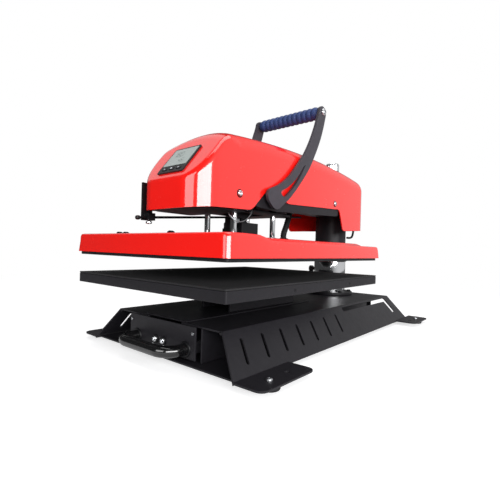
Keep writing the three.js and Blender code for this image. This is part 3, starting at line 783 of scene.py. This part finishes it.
class DRAWER_OT_pull(bpy.types.Operator):
    """The bent tube handle that draws the lower platen out"""
    bl_idname = "heat_press.pull"
    bl_label = "Pull handle"

    def execute(self, context):
        low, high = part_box("pull_handle")
        radius = (high.z - low.z) / 2
        front, back, z = low.y + radius, high.y, (low.z + high.z) / 2
        arm = high.x - radius
        bend, steps = 0.026, 8
        half = [(arm, back), (arm, (back + front + bend) / 2), (arm, front + bend)]
        for i in range(1, steps + 1):
            turn = math.pi / 2 * i / steps
            half.append((arm - bend + bend * math.cos(turn), front + bend - bend * math.sin(turn)))
        half.append((0.02, front))
        path = [(-x, y, z) for x, y in half] + [(x, y, z) for x, y in reversed(half)]
        finished(swept("pull_tube", path, radius, 40, 3), "black_gloss", "drawer", "pull_handle")
        self.fixings(radius, arm, z)
        return {"FINISHED"}

    @staticmethod
    def fixings(radius, arm, z):
        """Roses round the handle's ends, and the screws of the tray's front plate."""
        plate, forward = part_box("drawer_tray")[0].y, (0, -1, 0)
        inner, x = radius + 0.0002, 0.0108
        rose = closed([
            (inner, 0.0), (radius + 0.004, 0.0), (radius + 0.003, 0.0022), (inner, 0.0024)], 0.0006)
        disc = rounded([(0.0, -0.003), (0.0072, -0.003), (0.0072, 0.002), (0.0, 0.002)], 0.0005)
        for side, hand in HANDS:
            washer = lathe(f"pull_rose_{hand}", rose, (side * arm, plate, z), forward, 48)
            finished(washer, "black_paint", "drawer")
            screw(f"tray_screw_{hand}", (side * x, plate - 0.002, z + 0.0036), forward, 0.0058, "drawer")
            spacer = lathe(f"tray_spacer_{hand}", disc, (side * x, plate, z + 0.0036), forward, 40)
            finished(spacer, "black_paint", "drawer")
            screw(f"plate_screw_{hand}", (side * 0.085, plate, 0.0585), forward, 0.0026, "drawer",
                  "zinc_steel", False)


# ---- head cover -------------------------------------------------------------------------
def rounded_max(a, b, reach):
    """The larger of two fields, with the crease between them rounded over reach."""
    return np.maximum(a, b) + np.maximum(reach - np.abs(a - b), 0.0) ** 2 / (4 * reach)


def head_field(p, sizes):
    """Below 0 inside the head cover: plan outline, crowned top and screen slope."""
    x, y, z = np.abs(p[..., 0]), p[..., 1], p[..., 2]
    half, front, rear = COVER_HIGH.x, COVER_LOW.y, COVER_HIGH.y
    middle = (front + rear) / 2
    corner = np.where(y < middle, FRONT_CORNER, REAR_CORNER)
    across = x - (half - corner)
    along = np.abs(y - middle) - ((rear - front) / 2 - corner)
    outside = np.hypot(np.maximum(across, 0.0), np.maximum(along, 0.0))
    plan = outside - corner + np.minimum(np.maximum(across, along), 0.0)
    top = z - (CROWN_Z - CROWN_ALONG * (y - CROWN_Y) ** 2) + CROWN_ACROSS * x ** 2
    slope = -(y - SCREEN_Y) * math.sin(SCREEN_TILT) + (z - SCREEN_Z) * math.cos(SCREEN_TILT)
    roof = rounded_max(top * 0.95, slope, BROW_ROUND)
    # the edge is crisp round the screen slope, softer down its sides and softest along the crown
    reach = np.maximum(outside, 1e-9)
    sideways = np.where(np.maximum(across, along) > 0, np.maximum(across, 0.0) / reach, across > along)
    soft = np.maximum(np.clip((top - slope) / 0.02, 0.0, 1.0), 0.3 * sideways ** 2)
    return rounded_max(plan, roof, sizes.screen_round + (sizes.cover_round - sizes.screen_round) * soft)


class HEAD_OT_cover(bpy.types.Operator):
    """The red moulded cover of the head, with its screen slope and side cut-outs"""
    bl_idname = "heat_press.head_cover"
    bl_label = "Head cover"

    CAP = 0.085  # the end rays start this far inside the cover's ends
    CORE_Z = 0.33
    AROUND, ALONG, END = 264, 170, 76  # rays round the core, stations along it and over each end

    def execute(self, context):
        sizes = context.scene.heat_press_sizes
        shell = placed("head_shell", outward(from_rows("head_shell", self.surface(sizes))))
        cut_away(shell, self.underside())
        side = 0.03
        window = prism("window", [(-0.031, -side), (0.031, -side), (0.031, side), (-0.031, side)],
                       -0.05, 0.05, "Z")
        window.data.transform(SCREEN_PLACE)
        cut_away(shell, window)
        hole_profile = [(0.0, 0.35), (0.011, 0.35), (0.011, 0.46), (0.0, 0.46)]
        hole = lathe("hole", hole_profile, (0, POST_Y, 0), sides=48)
        cut_away(shell, hole)
        self.keep_skin(shell, sizes)
        wall = shell.modifiers.new("wall", "SOLIDIFY")
        wall.thickness = sizes.cover_wall
        wall.offset = -1.0
        applied(shell)
        smooth_faces(shell.data, 40.0)
        finished(shell, "red_moulded", "head", "head_cover")
        self.cover_screws()
        return {"FINISHED"}

    def surface(self, sizes):
        """Rows of points on the cover: rays from its core line, each followed to the field's edge."""
        front, rear = COVER_LOW.y + self.CAP, COVER_HIGH.y - self.CAP
        stations = []
        for i in range(self.END):
            lean = math.pi / 2 * (1 - (i + 0.5) / self.END)
            stations.append((front, -math.sin(lean), math.cos(lean)))
        for i in range(self.ALONG + 1):
            stations.append((front + (rear - front) * i / self.ALONG, 0.0, 1.0))
        for i in range(self.END):
            lean = math.pi / 2 * (i + 0.5) / self.END
            stations.append((rear, math.sin(lean), math.cos(lean)))
        turns = 2 * math.pi * np.arange(self.AROUND) / self.AROUND
        start = np.array([[(0.0, y, self.CORE_Z)] * self.AROUND for y, _, _ in stations])
        heading = np.array([
            np.stack([c * np.cos(turns), np.full(self.AROUND, s), c * np.sin(turns)], axis=1)
            for _, s, c in stations])
        near = np.zeros(start.shape[:2])
        far = np.full(start.shape[:2], 0.4)
        for _ in range(34):
            halfway = (near + far) / 2
            inside = head_field(start + heading * halfway[..., None], sizes) < 0
            near, far = np.where(inside, halfway, near), np.where(inside, far, halfway)
        return (start + heading * near[..., None]).tolist()

    @staticmethod
    def cover_screws():
        cup = closed([(0.0062, -0.001), (0.0082, -0.001), (0.0078, 0.0005), (0.0062, 0.0005)], 0.0003)
        for side, hand in HANDS:
            for label, y, z in (("front", 0.149, 0.293), ("rear", 0.511, 0.315)):
                at = (side * COVER_HIGH.x, PLATEN_FRONT + y, z)
                screw(f"cover_screw_{label}_{hand}", at, (side, 0, 0), 0.0058, "head")
                ring = lathe(f"cover_cup_{label}_{hand}", cup, at, (side, 0, 0), 40)
                finished(ring, "black_paint", "head")

    @staticmethod
    def underside():
        """Everything below the cover's lower edge, seen from the side."""
        corners = [  # distance behind the platen's front, height, and the corner's radius, in mm
            (0.0, -0.2, 0), (0.9, -0.2, 0), (0.9, 0.2585, 0), (0.712, 0.2575, 0), (0.641, 0.254, 6),
            (0.560, 0.249, 9), (0.537, 0.303, 10), (0.297, 0.291, 14), (0.272, 0.310, 16),
            (0.226, 0.308, 14), (0.184, 0.267, 12), (0.079, 0.263, 8), (0.050, 0.260, 0), (0.0, 0.257, 0)]
        outline = []
        for i, (y, z, radius) in enumerate(corners):
            before, after = corners[i - 1], corners[(i + 1) % len(corners)]
            if radius:
                outline.extend(rounded([before[:2], (y, z), after[:2]], radius * MM, 6)[1:-1])
            else:
                outline.append((y, z))
        outline = [(y + PLATEN_FRONT, z) for y, z in outline]
        return prism("underside", outline, -0.15, 0.15, "X")

    @staticmethod
    def keep_skin(shell, sizes):
        """Drops the faces that the cuts made, so that only the outer skin is left."""
        bm = bmesh.new()
        bm.from_mesh(shell.data)
        centres = np.array([f.calc_center_median() for f in bm.faces])
        off = np.abs(head_field(centres, sizes))
        bm.faces.ensure_lookup_table()
        on_skin = 0.0008
        inner = [f for f, d in zip(list(bm.faces), off) if d > on_skin]
        bmesh.ops.delete(bm, geom=inner, context="FACES")
        bm.to_mesh(shell.data)
        bm.free()


class HEAD_OT_chassis(bpy.types.Operator):
    """Swinging arm, side rails, chassis plate, nose plate, lock rod and stay"""
    bl_idname = "heat_press.chassis"
    bl_label = "Head chassis"

    def execute(self, context):
        softened("swing_arm", "powder_charcoal", context.scene.heat_press_sizes.plate_break)
        for _, hand in HANDS:
            softened(f"side_rail_{hand}", "powder_charcoal", 0.001)
        softened("chassis_plate", "black_paint", 0.0006)
        softened("under_plate", "powder_charcoal", 0.0006)
        softened("rod_guide", "black_paint", 0.0008)
        self.lock_rod()
        self.earth_wire()
        self.stay()
        return {"FINISHED"}

    @staticmethod
    def lock_rod():
        """The rod along the far side, its black tip, and the screw under its guide."""
        start = Vector((-0.080, PLATEN_FRONT + 0.054, 0.248))
        run = Vector((0.014, 0.536, 0.045))
        rod = swept("pull_rod", [tuple(start), tuple(start + run * 0.5), tuple(start + run)], 0.0025, 20, 4)
        finished(rod, "black_paint", "lock_rod", "lock_rod")
        tip_profile = rounded([
            (0.0, 0.0), (0.0036, 0.0), (0.0042, 0.002), (0.0042, 0.006), (0.003, 0.008),
            (0.0, 0.008)], 0.0006)
        finished(lathe("rod_tip", tip_profile, start, -run.normalized(), 32), "black_plastic", "lock_rod")
        low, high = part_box("rod_guide")
        screw_profile = rounded([
            (0.0, 0.0), (0.003, 0.0), (0.003, 0.0015), (0.0056, 0.002), (0.0058, 0.0062),
            (0.0, 0.007)], 0.0008)
        at = (start.x, (low.y + high.y) / 2, low.z)
        finished(lathe("guide_screw", screw_profile, at, (0, 0, -1), 32), "chrome", "head")

    @staticmethod
    def earth_wire():
        """A short bare wire that hangs in a bow under the nose, held at both ends."""
        route = (
            (0.060, 0.214, 0.274), (0.062, 0.210, 0.265), (0.062, 0.197, 0.252), (0.061, 0.181, 0.2455),
            (0.058, 0.168, 0.2475), (0.052, 0.160, 0.256), (0.048, 0.158, 0.264))
        wire = swept("earth_wire", [(x, PLATEN_FRONT + y, z) for x, y, z in route], 0.0011, 12, 8)
        finished(wire, "zinc_steel", "head")

    @staticmethod
    def stay():
        """The bent stay that hangs behind the column."""
        low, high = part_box("rear_stay")
        radius = 0.003
        x = high.x - radius
        route = [
            (x - 0.005, low.y, low.z + radius), (x - 0.002, low.y + 0.012, low.z + radius),
            (x, low.y + 0.022, low.z + 0.007), (x, low.y + 0.029, low.z + 0.019),
            (x, low.y + 0.032, high.z)]
        finished(swept("stay", route, radius, 20, 8), "black_paint", "head", "rear_stay")


class HEAD_OT_panel(bpy.types.Operator):
    """Screen bezel, display window with its digits, and the buttons"""
    bl_idname = "heat_press.panel"
    bl_label = "Control panel"

    SEGMENTS = {"1": "bc", "8": "abcdefg", "0": "abcdef", "4": "bcfg", "5": "acdfg"}

    def execute(self, context):
        softened("lcd_bezel", "black_plastic", 0.0006)
        softened("lcd_glass", "lcd_glass", 0.0003)
        for i in (1, 2, 3):
            softened(f"button_{i}", "black_plastic", 0.0005)
        self.window()
        self.button_marks()
        self.digits()
        return {"FINISHED"}

    @staticmethod
    def window():
        half, low, high = 0.0315, -0.0165, 0.0305
        corners = [(-half, low), (half, low), (half, high), (-half, high)]
        window = prism("screen_window", corners, 0.00285, 0.0034, "Z")
        window.data.transform(SCREEN_PLACE)
        finished(window, "lcd_glass", "head")

    @staticmethod
    def button_marks():
        """A pale arrow, dot and arrow on the three buttons."""
        profile = [(0.0, 0.0), (0.0021, 0.0), (0.0019, 0.00012), (0.0, 0.00012)]
        marks = ((-0.019, 3, 90), (0.0, 24, 0), (0.019, 3, -90))
        for i, (x, sides, turn) in enumerate(marks):
            mark = lathe(f"button_mark_{i + 1}", profile, (0, 0, 0), sides=sides)
            turned = Matrix.Rotation(math.radians(turn), 4, "Z")
            mark.data.transform(SCREEN_PLACE @ Matrix.Translation((x, -0.025, 0.00402)) @ turned)
            finished(mark, "pale_print", f"button_{i + 1}")

    def digits(self):
        """Two numbers, such as a temperature and a time, in seven-segment digits."""
        points, faces = [], []
        for text, left, base, tall in (("180", -0.022, 0.008, 0.013), ("45", 0.002, -0.010, 0.011)):
            for i, digit in enumerate(text):
                for segment in self.SEGMENTS[digit]:
                    start = len(points)
                    points.extend(self.segment(segment, left + i * tall * 0.68, base, tall))
                    faces.append(tuple(range(start, start + 4)))
        mesh = bpy.data.meshes.new("digits")
        mesh.from_pydata(points, [], faces)
        mesh.transform(SCREEN_PLACE)
        digits = placed("digits", mesh)
        thick = digits.modifiers.new("thick", "SOLIDIFY")
        thick.thickness = 0.00006
        applied(digits)
        finished(digits, "display_digits", "head")

    @staticmethod
    def segment(letter, left, base, tall):
        """One bar of a seven-segment digit, as four corners just above the window."""
        wide, t, z = tall * 0.5, tall * 0.07, 0.00346
        rows = {"a": 1.0, "g": 0.5, "d": 0.0}
        if letter in rows:
            y = base + tall * rows[letter]
            return [(left + t, y - t, z), (left + wide - t, y - t, z),
                    (left + wide - t, y + t, z), (left + t, y + t, z)]
        x = left + (wide if letter in "bc" else 0.0)
        low = base + (tall / 2 if letter in "bf" else 0.0) + 1.6 * t
        high = low + tall / 2 - 3.2 * t
        return [(x - t, low, z), (x + t, low, z), (x + t, high, z), (x - t, high, z)]


class HEAD_OT_socket(bpy.types.Operator):
    """Power socket plate with its rocker switch, at the back"""
    bl_idname = "heat_press.socket"
    bl_label = "Power socket"

    def execute(self, context):
        softened("power_socket", "black_plastic", 0.0006)
        softened("power_switch", "black_plastic", 0.0004)
        low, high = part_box("power_socket")
        for side, hand in HANDS:
            at = (side * 0.0203, high.y, low.z + 0.013)
            screw(f"socket_screw_{hand}", at, (0, 1, 0), 0.0022, "head", "zinc_steel")
        pins = prism("socket_pins", [(-0.001, 0.309), (0.001, 0.309), (0.001, 0.316), (-0.001, 0.316)],
                     high.y - 0.0028, high.y - 0.0008, "Y")
        finished(pins, "chrome", "head")
        return {"FINISHED"}


class HEAD_OT_knob(bpy.types.Operator):
    """The fluted pressure knob over the column"""
    bl_idname = "heat_press.knob"
    bl_label = "Pressure knob"

    def execute(self, context):
        low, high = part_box("pressure_knob")
        radius, top = high.x, high.z
        profile = rounded([
            (0.0, low.z), (0.008, low.z), (0.008, top - 0.031), (radius * 0.82, top - 0.027),
            (radius * 0.98, top - 0.023), (radius * 0.98, top - 0.005), (radius * 0.85, top - 0.001),
            (0.006, top - 0.002), (0.0, top - 0.002)], 0.0018)
        flutes, depth, sides = 18, 0.055, 144
        rows = []
        for r, z in profile:
            row = []
            grip = max(0.0, (r - radius * 0.8) / (radius * 0.2))
            for i in range(sides):
                angle = 2 * math.pi * i / sides
                dip = 1 - depth * grip * (0.5 - 0.5 * math.cos(flutes * angle)) ** 2
                row.append((r * dip * math.cos(angle), POST_Y + r * dip * math.sin(angle), z))
            rows.append(row)
        mesh = outward(from_rows("knob", rows, caps=False))
        smooth_faces(mesh, 40.0)
        finished(placed("fluted_knob", mesh), "chrome", "pressure_knob", "pressure_knob")
        cap = rounded([
            (0.0, top - 0.0022), (0.0065, top - 0.0022), (0.0065, top - 0.0008),
            (0.0, top - 0.0005)], 0.0004)
        finished(lathe("knob_cap", cap, (0, POST_Y, 0)), "black_plastic", "pressure_knob")
        washer = closed([(0.0085, 0.0), (0.015, 0.0), (0.014, 0.0025), (0.0085, 0.0025)], 0.0006)
        finished(lathe("knob_washer", washer, (0, POST_Y, 0.4115), sides=48), "chrome", "head")
        return {"FINISHED"}


# ---- lever ------------------------------------------------------------------------------
class LEVER_OT_arms(bpy.types.Operator):
    """Curved slotted arms, pivot shaft, crank, link and grip rod"""
    bl_idname = "heat_press.lever"
    bl_label = "Lever"

    def execute(self, context):
        for _, hand in HANDS:
            # the arms take the paler charcoal that paints their sheen
            softened(f"lever_arm_{hand}", "lever_enamel", 0.0010)
        softened("toggle_crank", "powder_charcoal", 0.0008)
        softened("toggle_link", "zinc_steel", 0.0008)
        for node, finish in (("pivot_shaft", "zinc_steel"), ("grip_rod", "chrome")):
            low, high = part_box(node)
            centre = (low + high) / 2
            radius, half = (high.z - low.z) / 2, (high.x - low.x) / 2
            profile = rounded([(0.0, -half), (radius, -half), (radius, half), (0.0, half)], 0.001)
            bar = lathe(node + "_turned", profile, centre, (1, 0, 0), 48)
            finished(bar, finish, "lever", node)
        profile = [(0.0, 0.0), (0.008, 0.0), (0.008, 0.0018), (0.0074, 0.003), (0.0058, 0.0042),
                   (0.0044, 0.0047), (0.0036, 0.0048), (0.0034, 0.0024), (0.0, 0.0024)]
        for side, hand in HANDS:
            low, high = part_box(f"grip_screw_{hand}")
            centre = (low + high) / 2
            near = low.x if side > 0 else high.x
            head = lathe(f"end_screw_{hand}", profile, (near, centre.y, centre.z), (side, 0, 0), 40)
            finished(head, "chrome", "lever", f"grip_screw_{hand}")
        return {"FINISHED"}


class LEVER_OT_grip(bpy.types.Operator):
    """Ribbed blue rubber grip"""
    bl_idname = "heat_press.grip"
    bl_label = "Grip"

    def execute(self, context):
        low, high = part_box("grip_sleeve")
        centre = (low + high) / 2
        outer, half = (high.z - low.z) / 2, (high.x - low.x) / 2
        bore, plain_end = 0.0063, 0.004
        ribs, steps = 12, 8
        pitch = (2 * half - 2 * plain_end) / ribs
        profile = [(bore, -half), (outer * 0.80, -half), (outer * 0.86, -half + 0.0012)]
        for i in range(ribs):
            start = -half + plain_end + i * pitch
            for k in range(steps + 1):
                t = k / steps
                swell = math.sin(math.pi * t) ** 0.55 if 0 < t < 1 else 0.0
                profile.append((outer * (0.855 + 0.145 * swell), start + pitch * (0.06 + 0.88 * t)))
        profile += [(outer * 0.86, half - 0.0012), (outer * 0.80, half), (bore, half), (bore, -half)]
        grip = lathe("ribbed_grip", profile, centre, (1, 0, 0), 72)
        smooth_faces(grip.data, 60.0)
        finished(grip, "blue_grip", "lever", "grip_sleeve")
        return {"FINISHED"}


# ---- press ------------------------------------------------------------------------------
class PRESS_OT_cover(bpy.types.Operator):
    """Red pressed-sheet cover of the upper platen"""
    bl_idname = "heat_press.platen_cover"
    bl_label = "Upper platen cover"

    # all in millimetres, from the cover's outline inwards: distance from the outline, then a height
    SKIRT = ((0.0, 181.5), (0.15, 183.0), (0.9, 192.0), (1.7, 200.0))
    SHOULDER = (  # over the height of the flat border
        (2.0, -6.5), (2.25, -4.2), (2.9, -2.2), (4.1, -0.8), (6.2, -0.1), (9.0, 0.0), (18.0, 0.1),
        (27.0, 0.2))
    RISE = (  # as a share of the way from the border to the plateau
        (28.5, 0.03), (30.0, 0.12), (33.5, 0.52), (37.5, 0.84), (39.5, 0.95), (42.0, 1.0), (60.0, 1.0))
    # the border is high over the front and steps down along the sides: distance behind the front, height
    BORDER = ((40, 215.6), (66, 215.2), (72, 214.2), (92, 209.2), (98, 208.3), (120, 208.0), (510, 207.4))

    def border(self, y):
        run = (y - PLATEN_FRONT) / MM
        return float(np.interp(run, *zip(*self.BORDER)))

    def execute(self, context):
        sizes = context.scene.heat_press_sizes
        rows = [self.loop(inset, lambda edge, z=z: z) for inset, z in self.SKIRT]
        rows += [self.loop(inset, lambda edge, over=over: edge + over) for inset, over in self.SHOULDER]
        rows += [
            self.loop(inset, lambda edge, share=share: edge * (1 - share) + PLATEAU * share)
            for inset, share in self.RISE]
        mesh = outward(from_rows("platen_skin", rows, caps=False))
        bm = bmesh.new()
        bm.from_mesh(mesh)
        top = max(v.co.z for v in bm.verts)
        rim = [e for e in bm.edges if e.is_boundary and e.verts[0].co.z > top - 0.0006]
        bmesh.ops.contextual_create(bm, geom=rim)
        bmesh.ops.recalc_face_normals(bm, faces=bm.faces)
        bm.to_mesh(mesh)
        bm.free()
        skin = placed("platen_skin", mesh)
        wall = skin.modifiers.new("wall", "SOLIDIFY")
        wall.thickness = sizes.skin_wall
        wall.offset = -1.0
        applied(skin)
        smooth_faces(skin.data, 40.0)
        finished(skin, "red_gloss", "press", "platen_cover")
        return {"FINISHED"}

    def loop(self, inset, height):
        """One row of points around the cover, in from its outline and a little further in at the front.

        height turns the border's height at a point into the point's own height.
        """
        inset *= MM
        half, front, rear = SKIN_HIGH.x - inset, SKIN_LOW.y + inset * 1.02, SKIN_HIGH.y - inset
        corner = max(0.004, 0.010 - inset * 0.05)
        steps, straight = 8, 60
        points = []
        arcs = [
            (half - corner, front + corner, -90), (half - corner, rear - corner, 0),
            (-half + corner, rear - corner, 90), (-half + corner, front + corner, 180)]
        for i, (cx, cy, turn) in enumerate(arcs):
            for k in range(steps + 1):
                angle = math.radians(turn + 90 * k / steps)
                points.append((cx + corner * math.cos(angle), cy + corner * math.sin(angle)))
            nx, ny, next_turn = arcs[(i + 1) % 4]
            nx += corner * math.cos(math.radians(next_turn))
            ny += corner * math.sin(math.radians(next_turn))
            x, y = points[-1]
            for k in range(1, straight):
                t = k / straight
                points.append((x + (nx - x) * t, y + (ny - y) * t))
        return [(x, y, height(self.border(y)) * MM) for x, y in points]


class PRESS_OT_works(bpy.types.Operator):
    """Heated platen, yoke, guide posts, clips and the heater conduit"""
    bl_idname = "heat_press.works"
    bl_label = "Press works"

    def execute(self, context):
        softened("heat_plate", "platen_black", 0.0008, 3)
        softened("yoke", "black_paint", 0.0010)
        self.posts()
        self.yoke_screws()
        self.wire_clips()
        self.conduit()
        return {"FINISHED"}

    @staticmethod
    def posts():
        for end in ("front", "rear"):
            for _, hand in HANDS:
                node = f"guide_post_{end}_{hand}"
                low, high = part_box(node)
                centre = (low + high) / 2
                radius = (high.x - low.x) / 2
                inner, outer = radius + 0.0004, 0.0095
                profile = rounded([
                    (0.0, low.z), (radius, low.z), (radius, high.z - 0.001), (radius - 0.001, high.z),
                    (0.0, high.z)], 0.0004)
                post = lathe(node + "_turned", profile, (centre.x, centre.y, 0), sides=48)
                finished(post, "chrome", "press", node)
                ring = closed([(inner, 0.0), (outer, 0.0), (outer, 0.0016), (inner, 0.0016)], 0.0005)
                at = (centre.x, centre.y, low.z + 0.0048)
                clamp = lathe(f"clamp_ring_{end}_{hand}", ring, at, sides=32)
                finished(clamp, "zinc_steel", "press")

    @staticmethod
    def yoke_screws():
        low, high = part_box("yoke")
        spots = (
            (0.038, low.y + 0.078), (-0.038, low.y + 0.078), (0.014, low.y + 0.013),
            (-0.014, high.y - 0.013))
        for i, (x, y) in enumerate(spots):
            at = (x, y, low.z + 0.005)
            screw(f"yoke_screw_{i + 1}", at, (0, 0, 1), 0.0058, "press", "black_paint", False)

    @staticmethod
    def wire_clips():
        """Small clips along the front border of the platen cover."""
        outline = [(-0.006, 0.0), (0.006, 0.0), (0.005, 0.005), (0.0, 0.007), (-0.005, 0.005)]
        for x, y, label in ((-0.15, 0.055, "a"), (-0.135, 0.060, "b"), (0.02, 0.05, "c")):
            clip = prism(f"wire_clip_{label}", outline, -0.004, 0.004, "Y")
            clip.data.transform(Matrix.Translation((x, PLATEN_FRONT + y, 0.2150)))
            finished(clip, "black_plastic", "press")

    @staticmethod
    def conduit():
        """Corrugated heater conduit between the arm and the platen cover, with a gland at each end."""
        low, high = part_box("heater_conduit")
        radius, sides, pitch = high.x, 32, 8
        on_arm, on_cover = PLATEN_FRONT + 0.432, PLATEN_FRONT + 0.410
        path = [
            (0, on_arm, high.z), (0, on_arm, high.z - 0.012), (0, PLATEN_FRONT + 0.421, 0.256),
            (0, on_cover, 0.234), (0, on_cover, low.z)]
        tube = swept("conduit", path, radius * 0.94, sides, 40)
        verts = tube.data.vertices
        for first in range(0, len(verts), sides):
            ring = [verts[first + i] for i in range(sides)]
            middle = sum((vert.co for vert in ring), Vector()) / sides
            swell = 1.0 + 0.06 * math.cos(2 * math.pi * (first // sides) / pitch)
            for vert in ring:
                vert.co = middle + (vert.co - middle) * swell
        finished(tube, "rubber_black", None, "heater_conduit")
        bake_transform(tube)
        inner = radius + 0.0006
        ring = closed([
            (inner, 0.0), (radius + 0.0055, 0.0), (radius + 0.0045, 0.009), (inner, 0.010)], 0.001)
        ends = (("top", on_arm, high.z, -1, "head"), ("low", on_cover, low.z, 1, "press"))
        for label, y, z, up, body in ends:
            gland = lathe(f"conduit_gland_{label}", ring, (0, y, z), (0, 0, up), 48)
            finished(gland, "black_plastic", body)


class HEATPRESS_PT_panel(bpy.types.Panel):
    """Lists the pieces"""
    bl_label = "Heat Press"
    bl_idname = "HEATPRESS_PT_panel"
    bl_space_type = "VIEW_3D"
    bl_region_type = "UI"
    bl_category = "Heat Press"

    def draw(self, context):
        for group in (context.scene.heat_press_sizes, context.scene.heat_press_finishes):
            for name in group.__annotations__:
                self.layout.prop(group, name)
        for operator in PIECES:
            self.layout.operator(operator.bl_idname)


PIECES = (
    STAGE_OT_studio, BASE_OT_sheet_metal, BASE_OT_feet, COLUMN_OT_post, DRAWER_OT_tray, DRAWER_OT_platen,
    DRAWER_OT_pull, HEAD_OT_cover, HEAD_OT_chassis, HEAD_OT_panel, HEAD_OT_socket, HEAD_OT_knob,
    LEVER_OT_arms, LEVER_OT_grip, PRESS_OT_cover, PRESS_OT_works)
CLASSES = (HeatPressSizes, HeatPressFinishes, *PIECES, HEATPRESS_PT_panel)


def register():
    for cls in CLASSES:
        bpy.utils.register_class(cls)
    bpy.types.Scene.heat_press_sizes = bpy.props.PointerProperty(type=HeatPressSizes)
    bpy.types.Scene.heat_press_finishes = bpy.props.PointerProperty(type=HeatPressFinishes)


def unregister():
    del bpy.types.Scene.heat_press_finishes
    del bpy.types.Scene.heat_press_sizes
    for cls in reversed(CLASSES):
        bpy.utils.unregister_class(cls)


def main():
    register()
    for operator in PIECES:
        area, name = operator.bl_idname.split(".")
        getattr(getattr(bpy.ops, area), name)()


if __name__ == "__main__":
    main()
